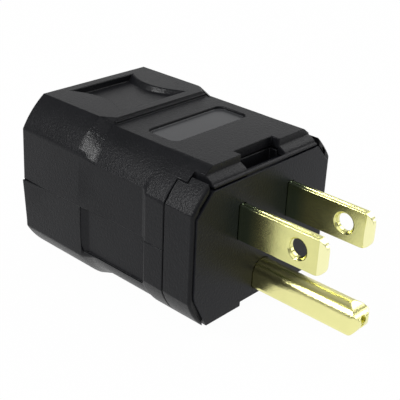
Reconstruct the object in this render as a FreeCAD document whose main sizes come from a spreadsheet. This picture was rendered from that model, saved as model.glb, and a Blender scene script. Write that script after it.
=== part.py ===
"""Rewireable straight-blade grounding plug, in millimetres.

X runs across the plug, Y along it from the mating face to the cord entry, and Z up.
The origin is the middle of the mating face, halfway between the two blades.
"""
import FreeCAD, Part
import os
import re
import Sketcher

doc = FreeCAD.newDocument("plug")
sheet = doc.addObject("Spreadsheet::Sheet", "Sizes")

SIZES = [
    # Pins, to the standard pattern of a 15 A grounding plug
    ("blade_height", 6.35, "height of a flat blade"),
    ("blade_sheet", 0.76, "brass strip that a blade is folded from"),
    ("blade_spacing", 12.7, "between the middles of the blades"),
    ("blade_reach", 17.3, "blade's length in front of the face"),
    ("blade_tip_round", 2.0, "corner radius at a blade's end"),
    ("blade_bevel", 1.35, "length of the bevel at a blade's end"),
    ("blade_hole_radius", 1.6, "hole through a blade"),
    ("blade_hole_back", 5.4, "blade's end to the hole's middle"),
    ("blade_hole_rim", 0.38, "countersink round the hole"),
    ("blade_seam", 0.3, "width of the groove between the folded layers"),
    ("blade_ear", 0.95, "shoulder that keeps a blade from pulling out"),
    ("pin_radius", 2.4, "radius of the ground pin's arched top"),
    ("pin_reach", 21.3, "ground pin's length in front of the face"),
    ("pin_drop", 11.8, "blades' middle down to the middle of that arch"),
    ("pin_under", -14.85, "underside of the ground pin"),
    ("pin_foot_round", 1.1, "rounding along the pin's lower edges"),
    ("pin_nose_length", 2.6, "length of the rounding on top of the pin's nose"),
    ("pin_nose_depth", 2.4, "depth of that rounding"),
    ("pin_nose_swell", 0.4, "how far that rounding swells"),
    ("pin_nose_side", 1.5, "rounding at the sides of the pin's nose"),
    ("pin_chin_length", 2.6, "length of the rounding under the pin's nose"),
    ("pin_chin_depth", 2.6, "depth of that rounding"),
    ("pin_chin_swell", 0.72, "how far that rounding swells"),
    ("pin_slit", 0.9, "opening along the underside of the folded pin"),
    ("pin_core", 0.7, "radius of the hollow in the folded pin"),
    ("pin_collar", 0.8, "collar that keeps the ground pin from pulling out"),
    ("pin_gap", 0.05, "clearance of a pin in its slot"),
    # Outer form of the shells
    ("parting_height", -3.85, "parting plane, measured from the blades' middle"),
    ("side_cover", 10.85, "middle of a blade out to the side wall"),
    ("band_rise", 0.7, "how far the wider front band stands out from the side wall"),
    ("band_length", 10.95, "face to the end of the wider band"),
    ("band_ramp", 0.8, "length over which the band narrows"),
    ("shoulder_swell", 0.42, "swell of the sloping shoulders"),
    ("knee_reach", 3.5, "side wall in to where the lower shoulders turn under, in front"),
    ("knee_rise", 1.5, "height of that turn above the underside"),
    ("band_knee_reach", 3.6, "the same on the band"),
    ("band_knee_rise", 1.55, "the same height on the band"),
    ("pin_cover", 3.65, "underside of the ground pin down to the underside in front"),
    ("front_flat_reach", 5.4, "side wall in to the flat top in front"),
    ("front_shoulder", 5.5, "drop of the upper shoulders in front"),
    ("under_shoulder", 5.8, "drop of the lower shoulders in front"),
    ("band_shoulder", 6.2, "drop of the upper shoulders on the band"),
    ("band_under_shoulder", 7.1, "drop of the lower shoulders on the band"),
    ("pad_lift", 0.9, "how far the pad is raised above the flat top in front"),
    ("pad_flat_reach", 5.0, "side wall in to the raised pad"),
    ("pad_rise", 0.3, "how far the side wall stands out at the rear"),
    ("pad_draft", 0.25, "how much further the upper shell's wall stands out at its foot"),
    ("pad_shoulder", 5.6, "drop of the shoulder beside the pad"),
    ("pad_front", 25.4, "face to the pad's front edge"),
    ("pad_start", 27.9, "face to where the pad has its full width"),
    ("pad_tip_reach", 1.9, "how much narrower the pad is on each side at its front edge"),
    ("facet_front", 21.8, "face to the foot of the slanting corner facets, at the parting plane"),
    ("facet_lean", 0.207, "how much the front of those facets leans back with height"),
    ("blend_sink", 0.04, "how far a blend starts inside the surface it grows from"),
    ("flare_start", 33.0, "face to where the lower shell's rim starts to stand out"),
    ("flare_width", 0.65, "how far that rim stands out at the cord end"),
    ("rear_round", 0.4, "rounding of the cord end"),
    ("pad_ledge_length", 0.55, "small ledge along the pad's front edge"),
    ("body_length", 43.5, "face to the cord end"),
    ("shell_wall", 1.9, "wall of the shells"),
    ("end_wall", 2.0, "wall at the cord end"),
    # Front edge of the shells
    ("lip_start", 0.15, "front of the lip behind the face"),
    ("lip_drop", 2.45, "flat top down to the lip"),
    ("lip_depth", 0.3, "depth of the lip's flat"),
    ("ledge_drop", 1.9, "flat top down to the front of the sloping ledge"),
    ("ledge_start", 0.9, "face to the front of the sloping ledge"),
    ("step_drop", 1.3, "flat top down to the foot of the front step"),
    ("step_place", 2.15, "face to the front step"),
    ("window_half_width", 4.9, "half width of the latch window"),
    ("window_front", 0.5, "face to the window's front edge"),
    ("window_rear", 3.9, "face to the window's rear edge"),
    # Recesses
    ("thumb_back", 2.2, "cord end to the rear of the thumb recess"),
    ("thumb_waist_share", 0.423, "share of its floor's length ahead of its narrowest place"),
    ("thumb_foot", 29.0, "face to the foot of the ramp at its front"),
    ("thumb_front", 27.3, "face to the top of that ramp"),
    ("thumb_runout", 0.3, "how far the ramp's cut runs on past its top"),
    ("thumb_side", 2.1, "side of the pad's front edge in to the top of the ramp"),
    ("thumb_rear_inset", 0.7, "how much narrower the recess is on each side at the rear"),
    ("thumb_waist_inset", 2.8, "the same at its waist"),
    ("thumb_foot_inset", 1.2, "the same at the foot of the ramp"),
    ("thumb_depth", 1.3, "depth at the rear"),
    ("thumb_foot_depth", 0.9, "depth at the foot of the ramp"),
    ("thumb_lean", 0.7, "run of the recess's side walls for their height"),
    ("label_rear", 19.75, "face to the rear of the label recess"),
    ("label_front", 12.7, "face to its front"),
    ("label_side", 2.5, "flat top's edge in to the side of the label recess"),
    ("label_depth", 0.55, "its depth"),
    ("label_round", 1.5, "its corner radius"),
    ("grip_rear", 27.6, "face to the rear of the finger hollow in the side"),
    ("grip_ramp", 1.6, "length over which the hollow fades out"),
    ("grip_depth", 0.35, "depth of the finger hollow"),
    # Front housing and face plate
    ("strap_length", 6.4, "face to the rear of the side straps"),
    ("strap_step", 4.2, "face to the step in the straps' ends"),
    ("strap_start", 0.3, "front of the straps behind the face"),
    ("strap_rear_depth", 2.8, "side wall in to the inner end of the straps' rear part"),
    ("strap_front_depth", 3.7, "side wall in to the inner end of the straps' front part"),
    ("strap_room", 0.9, "gap at the inner end of that part"),
    ("strap_bevel", 0.3, "bevel along the straps' front edge"),
    ("joint_gap", 0.2, "gap round the straps"),
    ("face_thickness", 2.3, "face plate"),
    ("face_rim", 0.75, "straps' outer side in to the side of the face plate"),
    ("face_top_rim", 3.15, "flat top down to the top edge of the face plate"),
    ("face_under_rim", 1.5, "underside up to the bottom edge of the face plate"),
    ("face_top_corner", 3.45, "width of its upper corners"),
    ("face_top_fall", 3.8, "height of its upper corners"),
    ("face_under_corner", 3.35, "width of its lower corners"),
    ("face_under_fall", 6.4, "height of its lower corners"),
    ("face_corner_round", 4.0, "rounding of its lower corners"),
    ("face_gap", 0.25, "gap round the face plate"),
    ("notch_half_width", 5.2, "half width of the notch in its bottom edge"),
    ("notch_depth", 0.85, "depth of that notch"),
    ("seat_gap", 0.1, "gap where one moulding seats behind another"),
    ("bulkhead_gap", 0.2, "gap between the bulkhead and the shells"),
    ("bulkhead_end", 6.4, "face to the back of the bulkhead"),
    ("ear_length", 1.9, "length of the shoulders held in the bulkhead"),
    ("latch_depth", 3.0, "depth of the latch pockets in the bulkhead"),
    ("latch_rear", 3.9, "face to the rear of the latch pockets"),
    ("barrier_end", 19.0, "face to the end of the terminal barriers"),
    ("barrier_wall", 1.2, "thickness of the terminal barriers"),
    ("shelf_room", 0.5, "end of the ground terminal's screw up to the shelf between the terminals"),
    # Terminals
    ("tab_start", 6.6, "face to the front of the terminal tabs"),
    ("tab_end", 16.8, "face to the rear of the terminal tabs"),
    ("tab_thickness", 1.0, "terminal tabs"),
    ("ground_room", 2.3, "inside of the lower shell up to the ground tab"),
    ("ground_root", 2.5, "height of the strip from the ground pin to its tab"),
    ("tab_side_gap", 4.0, "side wall in to the outer edge of the live tabs"),
    ("ground_tab_half", 4.2, "half width of the ground tab"),
    ("screw_place", 11.9, "face to the terminal screws"),
    ("screw_edge", 3.0, "live tabs' outer edge to the middle of their screws"),
    ("screw_radius", 1.95, "terminal screw"),
    ("screw_hole_gap", 0.1, "clearance of a screw in its hole"),
    ("screw_head_radius", 2.9, "terminal screw's head"),
    ("screw_head_height", 1.7, "height of that head"),
    ("screw_length", 5.4, "length under that head"),
    ("screw_slot", 0.8, "width of the slot in a screw's head"),
    ("screw_slot_depth", 0.7, "depth of that slot"),
    ("clamp_half", 3.9, "half width of the clamp plates"),
    ("clamp_thickness", 1.4, "clamp plates"),
    ("clamp_gap", 0.3, "gap that a wire is clamped in, as supplied"),
    # Cord grip and assembly screws
    ("cord_radius", 5.3, "cord entry"),
    ("grip_radius", 4.3, "opening between the cord clamp ribs"),
    ("rib_length", 1.6, "thickness of a cord clamp rib"),
    ("front_rib_back", 13.1, "cord end to the front rib"),
    ("rear_rib_back", 5.9, "cord end to the rear rib"),
    ("bolt_back", 8.8, "cord end to the assembly screws"),
    ("bolt_inset", 7.5, "side wall in to the assembly screws"),
    ("bolt_radius", 1.5, "assembly screw"),
    ("bolt_hole_gap", 0.15, "clearance of the assembly screws"),
    ("bolt_head_radius", 2.25, "assembly screw's head"),
    ("bolt_head_height", 1.8, "height of that head"),
    ("bolt_head_sink", 3.4, "depth of the pocket that the head sits in"),
    ("bolt_beyond", 1.95, "how far the screw's end stands past its nut"),
    ("boss_radius", 3.0, "boss round an assembly screw"),
    ("nut_side", 5.2, "square nut, across its flats"),
    ("nut_thickness", 2.2, "square nut"),
    ("nut_depth", 1.2, "parting plane up to the nut"),
]

for row, (alias, value, note) in enumerate(SIZES, 1):
    sheet.set(f"A{row}", note)
    sheet.set(f"B{row}", str(value))
    sheet.setAlias(f"B{row}", alias)
doc.recompute()

FOLLOWING = {
    "half_width": "blade_spacing / 2 + side_cover",
    "front_height": "parting_height - pin_under + pin_cover",
    "band_half_width": "half_width + band_rise",
    "pad_half_width": "half_width + pad_rise",
    "knee_half": "half_width - knee_reach",
    "band_knee_half": "band_half_width - band_knee_reach",
    "front_flat": "half_width - front_flat_reach",
    "pad_height": "front_height + pad_lift",
    "pad_flat": "pad_half_width - pad_flat_reach",
    "pad_tip_half": "pad_flat - pad_tip_reach",
    "label_half": "front_flat - label_side",
    "thumb_rear": "body_length - thumb_back",
    "thumb_waist": "thumb_foot + (thumb_rear - thumb_foot) * thumb_waist_share",
    "thumb_front_half": "pad_tip_half - thumb_side",
    "thumb_rear_half": "thumb_front_half - thumb_rear_inset",
    "thumb_waist_half": "thumb_front_half - thumb_waist_inset",
    "thumb_foot_half": "thumb_front_half - thumb_foot_inset",
    "lip_height": "front_height - lip_drop",
    "ledge_height": "front_height - ledge_drop",
    "step_bottom": "front_height - step_drop",
    "strap_rear_inner": "band_half_width - strap_rear_depth",
    "strap_front_inner": "band_half_width - strap_front_depth",
    "strap_front_room": "strap_front_inner - strap_room",
    "face_half_width": "band_half_width - face_rim",
    "face_top": "parting_height + front_height - face_top_rim",
    "face_bottom": "parting_height - front_height + face_under_rim",
    "face_top_half": "face_half_width - face_top_corner",
    "face_top_side": "face_top - face_top_fall",
    "face_bottom_half": "face_half_width - face_under_corner",
    "face_bottom_side": "face_bottom + face_under_fall",
    "ground_under": "parting_height - front_height + shell_wall + ground_room",
    "shelf_height": "ground_under + screw_length + shelf_room",
    "tab_reach": "half_width - tab_side_gap",
    "screw_side": "tab_reach - screw_edge",
    "front_rib_place": "body_length - front_rib_back",
    "rear_rib_place": "body_length - rear_rib_back",
    "bolt_place": "body_length - bolt_back",
    "bolt_side": "half_width - bolt_inset",
    "bolt_length": "pad_height - bolt_head_sink + nut_depth + nut_thickness + bolt_beyond",
}

UP = 1
DOWN = -1
LEFT = -1
RIGHT = 1


def sized(text):
    """Points each size named in an expression at its cell, or at the cells that it follows from."""
    def source(found):
        name = found.group()
        return f"({sized(FOLLOWING[name])})" if name in FOLLOWING else "Sizes." + name
    return re.sub(r"[a-z]+(?:_[a-z]+)+", source, str(text))


def number(text):
    return float(sheet.evalExpression(sized(text)))


def bind(feature, **expressions):
    for name, text in expressions.items():
        feature.setExpression(name.replace("__", "."), sized(text))


def new_body(label):
    body = doc.addObject("PartDesign::Body", label)
    body.Label = label
    return body


def origin_item(body, role):
    return next(item for item in body.Origin.OriginFeatures if item.Role == role)


def new_sketch(body, plane, place="0"):
    """A sketch on an origin plane, moved to a place along the axis across that plane."""
    sketch = body.newObject("Sketcher::SketchObject", "sketch")
    sketch.AttachmentSupport = [(origin_item(body, plane), "")]
    sketch.MapMode = "FlatFace"
    turn = "-" if plane == "XZ_Plane" else ""
    bind(sketch, AttachmentOffset__Base__z=f"{turn}({place})")
    return sketch


def add_edge(sketch, here, there, swell, outward):
    """Adds a straight edge, or an arc that swells outward; returns the numbers of its two ends."""
    if not swell:
        sketch.addGeometry(Part.LineSegment(here, there))
        return 1, 2
    across = (there - here).cross(FreeCAD.Vector(0, 0, outward)).normalize()
    middle = (here + there) / 2 + across * number(swell)
    item = sketch.addGeometry(Part.Arc(here, middle, there))
    forward = sketch.getPoint(item, 1).distanceToPoint(here) < 0.001
    return (1, 2) if forward else (2, 1)


def draw_outline(sketch, corners):
    """Draws a closed outline whose corners each keep their two sizes.

    A corner with a third entry starts an edge that swells outward by that much.
    """
    first = sketch.GeometryCount
    count = len(corners)
    spots = [FreeCAD.Vector(number(corner[0]), number(corner[1]), 0) for corner in corners]
    turn = sum(spots[index - 1].x * spot.y - spots[index - 1].y * spot.x
               for index, spot in enumerate(spots))
    ends = []
    for index, corner in enumerate(corners):
        there = spots[(index + 1) % count]
        swell = corner[2:] and corner[2]
        ends.append(add_edge(sketch, spots[index], there, swell, 1 if turn > 0 else -1))
    for index in range(count):
        after = (index + 1) % count
        sketch.addConstraint(
            Sketcher.Constraint("Coincident", first + index, ends[index][1], first + after, ends[after][0]))
    for index, corner in enumerate(corners):
        for kind, text in (("DistanceX", corner[0]), ("DistanceY", corner[1])):
            rule = Sketcher.Constraint(kind, -1, 1, first + index, ends[index][0], number(text))
            item = sketch.addConstraint(rule)
            sketch.setExpression(f"Constraints[{item}]", sized(text))
        if corner[2:]:
            there = corners[(index + 1) % count]
            chord = f"((({there[0]}) - ({corner[0]}))^2 + (({there[1]}) - ({corner[1]}))^2)"
            radius = f"abs({chord} / (8 * ({corner[2]})) + ({corner[2]}) / 2)"
            item = sketch.addConstraint(Sketcher.Constraint("Radius", first + index, number(radius)))
            sketch.setExpression(f"Constraints[{item}]", sized(radius))


def draw_circle(sketch, across, along, radius):
    middle = FreeCAD.Vector(number(across), number(along), 0)
    item = sketch.addGeometry(Part.Circle(middle, FreeCAD.Vector(0, 0, 1), number(radius)))
    for kind, text in (("DistanceX", across), ("DistanceY", along)):
        rule = sketch.addConstraint(Sketcher.Constraint(kind, -1, 1, item, 3, number(text)))
        sketch.setExpression(f"Constraints[{rule}]", sized(text))
    rule = sketch.addConstraint(Sketcher.Constraint("Radius", item, number(radius)))
    sketch.setExpression(f"Constraints[{rule}]", sized(radius))


def draw_shapes(sketch, shapes):
    """Each shape is a circle, as (across, along, radius), or a list of corners."""
    for shape in shapes:
        if isinstance(shape, tuple):
            draw_circle(sketch, *shape)
        else:
            draw_outline(sketch, shape)


def rectangle(low_across, low_along, high_across, high_along):
    return [(low_across, low_along), (high_across, low_along),
            (high_across, high_along), (low_across, high_along)]


def backwards(corners):
    """The same corners the other way round, each swell staying on its own edge."""
    return [corners[index][:2] + corners[index - 1][2:] for index in range(len(corners) - 1, -1, -1)]


def both_sides(shape):
    """A list of corners or a circle, with its mirror image across the middle."""
    if isinstance(shape, tuple):
        across, along, radius = shape
        return [shape, (f"-({across})", along, radius)]
    return [shape, [(f"-({corner[0]})",) + corner[1:] for corner in backwards(shape)]]


def lean_back(body, sketch, side):
    """Leans a sketch on the XZ plane back with height, turning about the parting plane."""
    angle = -side * number("atan(facet_lean)")
    turn = FreeCAD.Rotation(FreeCAD.Vector(1, 0, 0), angle)
    place = FreeCAD.Vector(0, 0, sketch.AttachmentOffset.Base.z)
    sketch.AttachmentOffset = FreeCAD.Placement(place, turn)
    bind(sketch, AttachmentOffset__Base__y="parting_height")


def add_along(body, plane, shapes, start, end):
    """Adds a block with the given outline, from start to end along the axis across the plane."""
    sketch = new_sketch(body, plane, start)
    draw_shapes(sketch, shapes)
    pad = body.newObject("PartDesign::Pad", "block")
    pad.Profile = sketch
    pad.Reversed = plane == "XZ_Plane"
    bind(pad, Length=f"{end} - ({start})")
    doc.recompute()
    return pad


def cut_along(body, plane, shapes, start, end):
    """Cuts the given outline out, from start to end along the axis across the plane."""
    before = body.Shape.Volume
    sketch = new_sketch(body, plane, start)
    draw_shapes(sketch, shapes)
    pocket = body.newObject("PartDesign::Pocket", "cut")
    pocket.Profile = sketch
    pocket.Reversed = plane != "XZ_Plane"
    bind(pocket, Length=f"{end} - ({start})")
    doc.recompute()
    if not body.Shape.Volume < before:
        raise RuntimeError(f"a cut in {body.Label} took nothing away")
    return pocket


def blend_along(body, kind, sections, lean=0):
    """Adds or cuts a form that changes evenly from one outline to the next, the first one leaning."""
    sketches = []
    for place, corners in sections:
        sketch = new_sketch(body, "XZ_Plane", place)
        if lean and not sketches:
            lean_back(body, sketch, lean)
        draw_outline(sketch, corners)
        sketches.append(sketch)
    loft = body.newObject(kind, "blend")
    loft.Profile = sketches[0]
    loft.Sections = sketches[1:]
    loft.Ruled = len(sections) == 2
    doc.recompute()
    return loft


def edges_where(body, test):
    """Names of the body's edges whose two ends both pass a test."""
    names = []
    for index, edge in enumerate(body.Shape.Edges, 1):
        ends = [vertex.Point for vertex in edge.Vertexes]
        if all(test(point) for point in ends):
            names.append(f"Edge{index}")
    return names


def dress(body, kind, names, size):
    """Rounds or bevels the named edges of the body's last feature."""
    last = body.Tip
    feature = body.newObject(kind, "edge")
    feature.Base = (last, names)
    if kind == "PartDesign::Fillet":
        bind(feature, Radius=size)
    else:
        bind(feature, Size=size)
    doc.recompute()
    return feature


def height(side, text):
    """A height measured from the parting plane, up or down."""
    return f"parting_height {'+' if side == UP else '-'} ({text})"


def shell_section(side, half, flat, top, shoulder, swell, inset="0"):
    """Half of the octagonal section, from the parting plane out, moved in by an inset."""
    slant = f"({inset}) * 0.4142"
    low = height(side, f"{top} - ({shoulder}) - {slant}")
    high = height(side, f"{top} - ({inset})")
    swells = (swell,) if swell else ()
    return [
        (f"-({half}) + ({inset})", "parting_height"),
        (f"-({half}) + ({inset})", low) + swells,
        (f"-({flat}) + {slant}", high),
        (f"{flat} - {slant}", high) + swells,
        (f"{half} - ({inset})", low),
        (f"{half} - ({inset})", "parting_height"),
    ]


CAVITY_END = "body_length - end_wall"


def plain_section(side, inset="0", swell="shoulder_swell"):
    shoulder = "front_shoulder" if side == UP else "under_shoulder"
    return shell_section(side, "half_width", "front_flat", "front_height", shoulder, swell, inset)


def with_knees(section, half, rise):
    """Turns a lower section under in two steps instead of one."""
    knee = height(DOWN, f"front_height - ({rise})")
    return section[:2] + [(f"-({half})", knee)] + [section[2][:2], section[3][:2]] + [
        (half, knee, "shoulder_swell")] + section[4:]


def narrow_section(side):
    section = plain_section(side)
    return section if side == UP else with_knees(section, "knee_half", "knee_rise")


def wide_section(side, inset="0"):
    shoulder = "band_shoulder" if side == UP else "band_under_shoulder"
    section = shell_section(
        side, "band_half_width", "front_flat", "front_height", shoulder, "shoulder_swell", inset)
    if side == UP:
        return section
    return with_knees(section, f"band_knee_half - ({inset}) * 0.73", f"band_knee_rise + ({inset}) * 0.73")


def pad_section(side):
    section = shell_section(
        side, "pad_half_width", "pad_flat", "pad_height", "pad_shoulder", "shoulder_swell")
    if side == UP:
        section[0] = ("-(pad_half_width + pad_draft)", "parting_height")
        section[-1] = ("pad_half_width + pad_draft", "parting_height")
    return section


def leaning_section(side):
    """The narrow section in a plane that leans back, its heights counted from the parting plane."""
    stretch = "(1 + facet_lean^2)^0.5"
    corners = []
    for corner in plain_section(side, "blend_sink"):
        corners.append((corner[0], f"({corner[1]} - parting_height) * {stretch}") + corner[2:])
    return corners


def pad_tip_section(side):
    """The pad's front edge, with its two sides sloping down into the corner facets."""
    foot = height(side, "front_height - blend_sink")
    return [("-front_flat", foot), ("-pad_tip_half", height(side, "pad_height")),
            ("pad_tip_half", height(side, "pad_height")), ("front_flat", foot)]


def pad_root_section(side):
    foot = height(side, "front_height + blend_sink")
    return [("-(pad_flat + 0.75)", foot), ("-pad_flat", height(side, "pad_height")),
            ("pad_flat", height(side, "pad_height")), ("pad_flat + 0.75", foot)]


def face_outline(gap):
    """The face plate's outline, grown by a gap."""
    return [
        (f"-(face_bottom_half + {gap})", f"face_bottom - {gap}"),
        (f"face_bottom_half + {gap}", f"face_bottom - {gap}"),
        (f"face_half_width + {gap}", "face_bottom_side"),
        (f"face_half_width + {gap}", f"face_top_side + {gap} * 0.4142"),
        (f"face_top_half + {gap} * 0.4142", f"face_top + {gap}"),
        (f"-(face_top_half + {gap} * 0.4142)", f"face_top + {gap}"),
        (f"-(face_half_width + {gap})", f"face_top_side + {gap} * 0.4142"),
        (f"-(face_half_width + {gap})", "face_bottom_side"),
    ]


def thumb_section(side, half, depth):
    """The thumb recess across the pad, wider at the top than at its floor."""
    above = "0.5"
    floor_half = f"{half} - ({depth}) * thumb_lean"
    open_half = f"{half} + {above} * thumb_lean"
    return [
        (f"-({floor_half})", height(side, f"pad_height - ({depth})")),
        (floor_half, height(side, f"pad_height - ({depth})")),
        (open_half, height(side, f"pad_height + {above}")),
        (f"-({open_half})", height(side, f"pad_height + {above}")),
    ]


def build_shell(label, side):
    """One half of the body: a wide band in front, a raised pad at the rear, open inside."""
    body = new_body(label)
    add_along(body, "XZ_Plane", [wide_section(side)], "lip_start", "band_length")
    blend_along(body, "PartDesign::AdditiveLoft", [
        ("band_length", wide_section(side)), ("band_length + band_ramp", narrow_section(side))])
    add_along(body, "XZ_Plane", [narrow_section(side)], "band_length + band_ramp", "body_length - 1")
    blend_along(body, "PartDesign::AdditiveLoft", [
        ("facet_front", leaning_section(side)), ("pad_start", pad_section(side))], side)
    blend_along(body, "PartDesign::AdditiveLoft", [
        ("pad_front", pad_tip_section(side)), ("pad_start", pad_root_section(side))])
    add_along(body, "XZ_Plane", [pad_section(side)], "pad_start", "body_length")
    ledge = "pad_tip_half + pad_ledge_length"
    middle = "(pad_height + front_height) / 2"
    edges = sorted((height(side, "front_height - shell_wall / 2"), height(side, middle)), key=number)
    add_along(body, "XZ_Plane", [rectangle(f"-({ledge})", edges[0], ledge, edges[1])],
              "pad_front - pad_ledge_length", "pad_front + shell_wall")
    if side == UP:
        round_cord_end(body)
    else:
        add_rim(body)
    # Stepped front edge: a lip, a sloping ledge and an upright step
    beyond = "band_half_width + 1"
    step = [
        ("lip_start - 1", height(side, "lip_height")),
        ("lip_start + lip_depth", height(side, "lip_height")),
        ("ledge_start", height(side, "ledge_height")),
        ("step_place", height(side, "step_bottom")),
        ("step_place", height(side, "front_height + 1")),
        ("lip_start - 1", height(side, "front_height + 1")),
    ]
    cut_along(body, "YZ_Plane", [step], f"-({beyond})", beyond)
    # Room for the face plate, then the hollow behind it
    cut_along(body, "XZ_Plane", [face_outline("face_gap")], "lip_start - 1", "face_thickness + seat_gap")
    cut_along(body, "XZ_Plane", [plain_section(side, "shell_wall", None)], "face_thickness", CAVITY_END)
    # Room for the side straps
    straps = [
        ("strap_front_room", "lip_start - 1"),
        (beyond, "lip_start - 1"),
        (beyond, "strap_length + joint_gap"),
        ("strap_rear_inner - joint_gap", "strap_length + joint_gap"),
        ("strap_rear_inner - joint_gap", "strap_step + joint_gap"),
        ("strap_front_room", "strap_step + joint_gap"),
    ]
    low = height(side, "-1") if side == UP else height(side, "pad_height")
    high = height(side, "pad_height") if side == UP else height(side, "-1")
    cut_along(body, "XY_Plane", both_sides(straps), low, high)
    # Latch window through the front edge
    inside = height(side, "lip_height - 2 * face_gap")
    outside = height(side, "front_height + 1")
    low, high = (inside, outside) if side == UP else (outside, inside)
    window = rectangle("-window_half_width", "window_front", "window_half_width", "window_rear")
    cut_along(body, "XY_Plane", [window], low, high)
    add_cord_grip(body, side)
    cut_thumb_recess(body, side)
    return body


def cut_thumb_recess(body, side):
    """A waisted recess with a gently sloping floor and a short ramp up to the pad in front."""
    fall = "(thumb_depth - thumb_foot_depth) / (thumb_rear - thumb_foot)"
    ramp = "thumb_foot_depth / (thumb_foot - thumb_front)"
    foot = ("thumb_foot", thumb_section(side, "thumb_foot_half", "thumb_foot_depth"))
    blend_along(body, "PartDesign::SubtractiveLoft", [
        foot,
        ("thumb_waist", thumb_section(
            side, "thumb_waist_half", f"thumb_foot_depth + (thumb_waist - thumb_foot) * {fall}")),
        ("thumb_rear", thumb_section(side, "thumb_rear_half", "thumb_depth"))])
    blend_along(body, "PartDesign::SubtractiveLoft", [
        ("thumb_front - thumb_runout", thumb_section(side, "thumb_front_half", f"-thumb_runout * {ramp}")),
        foot])


def round_cord_end(body):
    end = number("body_length")
    rear = [name for name in edges_where(body, lambda point: abs(point.y - end) < 0.001)
            if abs(body.Shape.getElement(name).CenterOfMass.z - number("parting_height")) > 0.01]
    dress(body, "PartDesign::Fillet", rear, "rear_round")


def add_rim(body):
    """The lower shell's rim, standing out towards the cord end."""
    foot = height(DOWN, "pad_height - pad_shoulder - 0.5")
    root = "half_width - shell_wall / 2"
    for way in ("-", ""):
        blend_along(body, "PartDesign::AdditiveLoft", [
            (place, [(f"{way}({root})", "parting_height"), (f"{way}({root})", foot),
                     (f"{way}({out})", foot), (f"{way}({out} + {flare})", "parting_height")])
            for place, out, flare in (("flare_start", "half_width - 0.1", "0"),
                                      ("body_length - 0.2", "pad_half_width", "flare_width"))])


def add_cord_grip(body, side):
    """Ribs that clamp the cord, bosses for the assembly screws and the cord entry."""
    for place in ("front_rib_place", "rear_rib_place"):
        rib = plain_section(side, "shell_wall / 2", None)
        add_along(body, "XZ_Plane", [rib], place, f"{place} + rib_length")
        grip = ("0", "parting_height", "grip_radius")
        cut_along(body, "XZ_Plane", [grip], f"{place} - 0.1", f"{place} + rib_length + 0.1")
    boss = both_sides(("bolt_side", "bolt_place", "boss_radius"))
    root = height(side, "front_height - shell_wall / 2")
    low, high = ("parting_height", root) if side == UP else (root, "parting_height")
    add_along(body, "XY_Plane", boss, low, high)
    entry = ("0", "parting_height", "cord_radius")
    cut_along(body, "XZ_Plane", [entry], f"{CAVITY_END} - 0.1", "body_length + 1")


def build_top_shell():
    body = build_shell("top_shell", UP)
    # Blind holes and square pockets for the assembly screws and their nuts
    hole = both_sides(("bolt_side", "bolt_place", "bolt_radius + bolt_hole_gap"))
    cut_along(body, "XY_Plane", hole, "parting_height - 1",
              "parting_height + nut_depth + nut_thickness + bolt_beyond + 1")
    nut = rectangle("bolt_side - nut_side / 2", "bolt_place - nut_side / 2",
                    "bolt_side + nut_side / 2", "bolt_place + nut_side / 2")
    cut_along(body, "XY_Plane", both_sides(nut), "parting_height - 1",
              "parting_height + nut_depth + nut_thickness")
    label = rectangle("-label_half", "label_front", "label_half", "label_rear")
    top = height(UP, "front_height")
    cut_along(body, "XY_Plane", [label], f"{top} - label_depth", f"{top} + 1")
    floor = number(f"{top} - label_depth")
    corners = edges_where(body, lambda point: (
        abs(point.z - floor) < 0.01 or abs(point.z - number(top)) < 0.01)
        and abs(abs(point.x) - number("label_half")) < 0.01
        and min(abs(point.y - number("label_front")), abs(point.y - number("label_rear"))) < 0.01)
    upright = [name for name in corners
               if abs(body.Shape.getElement(name).Length - number("label_depth")) < 0.01]
    dress(body, "PartDesign::Fillet", upright, "label_round")
    return body


def build_bottom_shell():
    body = build_shell("bottom_shell", DOWN)
    hole = both_sides(("bolt_side", "bolt_place", "bolt_radius + bolt_hole_gap"))
    cut_along(body, "XY_Plane", hole, height(DOWN, "pad_height + 1"), "parting_height + 1")
    sink = both_sides(("bolt_side", "bolt_place", "bolt_head_radius + bolt_hole_gap"))
    cut_along(body, "XY_Plane", sink, height(DOWN, "pad_height + 1"),
              height(DOWN, "pad_height - bolt_head_sink"))
    # Shallow finger hollow in each side wall
    hollow = [
        ("half_width - grip_depth", "band_length + band_ramp"),
        ("half_width + 1", "band_length + band_ramp"),
        ("half_width + 1", "grip_rear"),
        ("half_width + grip_depth / 2", "grip_rear"),
        ("half_width - grip_depth", "grip_rear - grip_ramp"),
    ]
    cut_along(body, "XY_Plane", both_sides(hollow), height(DOWN, "front_height - under_shoulder"),
              "parting_height + 1")
    return body


def ring_section(upper, lower):
    """A full octagonal section made from its upper and lower halves."""
    return upper[1:-1] + backwards(lower[1:-1])


def wide_ring(inset):
    return ring_section(wide_section(UP, inset), wide_section(DOWN, inset))


def inner_section(side):
    return plain_section(side, "shell_wall + bulkhead_gap", None)


def blade_slot(grow):
    """Opening for one blade, as an outline seen from the front."""
    middle = "blade_spacing / 2"
    half = f"blade_sheet + {grow}"
    tall = f"blade_height / 2 + {grow}"
    return rectangle(f"{middle} - ({half})", f"-({tall})", f"{middle} + {half}", tall)


def pin_section(grow):
    """The ground pin's outline from the front: arched on top, nearly flat underneath."""
    half = f"pin_radius + {grow}"
    under = f"pin_under - ({grow})"
    arch = f"({half}) * 0.2929"
    turn = f"(pin_foot_round + {grow}) * 0.2929"
    return [
        (f"-({half})", "-pin_drop", arch),
        ("0", f"{half} - pin_drop", arch),
        (half, "-pin_drop"),
        (half, "pin_under + pin_foot_round", turn),
        ("pin_radius - pin_foot_round", under),
        ("pin_foot_round - pin_radius", under, turn),
        (f"-({half})", "pin_under + pin_foot_round"),
    ]


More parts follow.
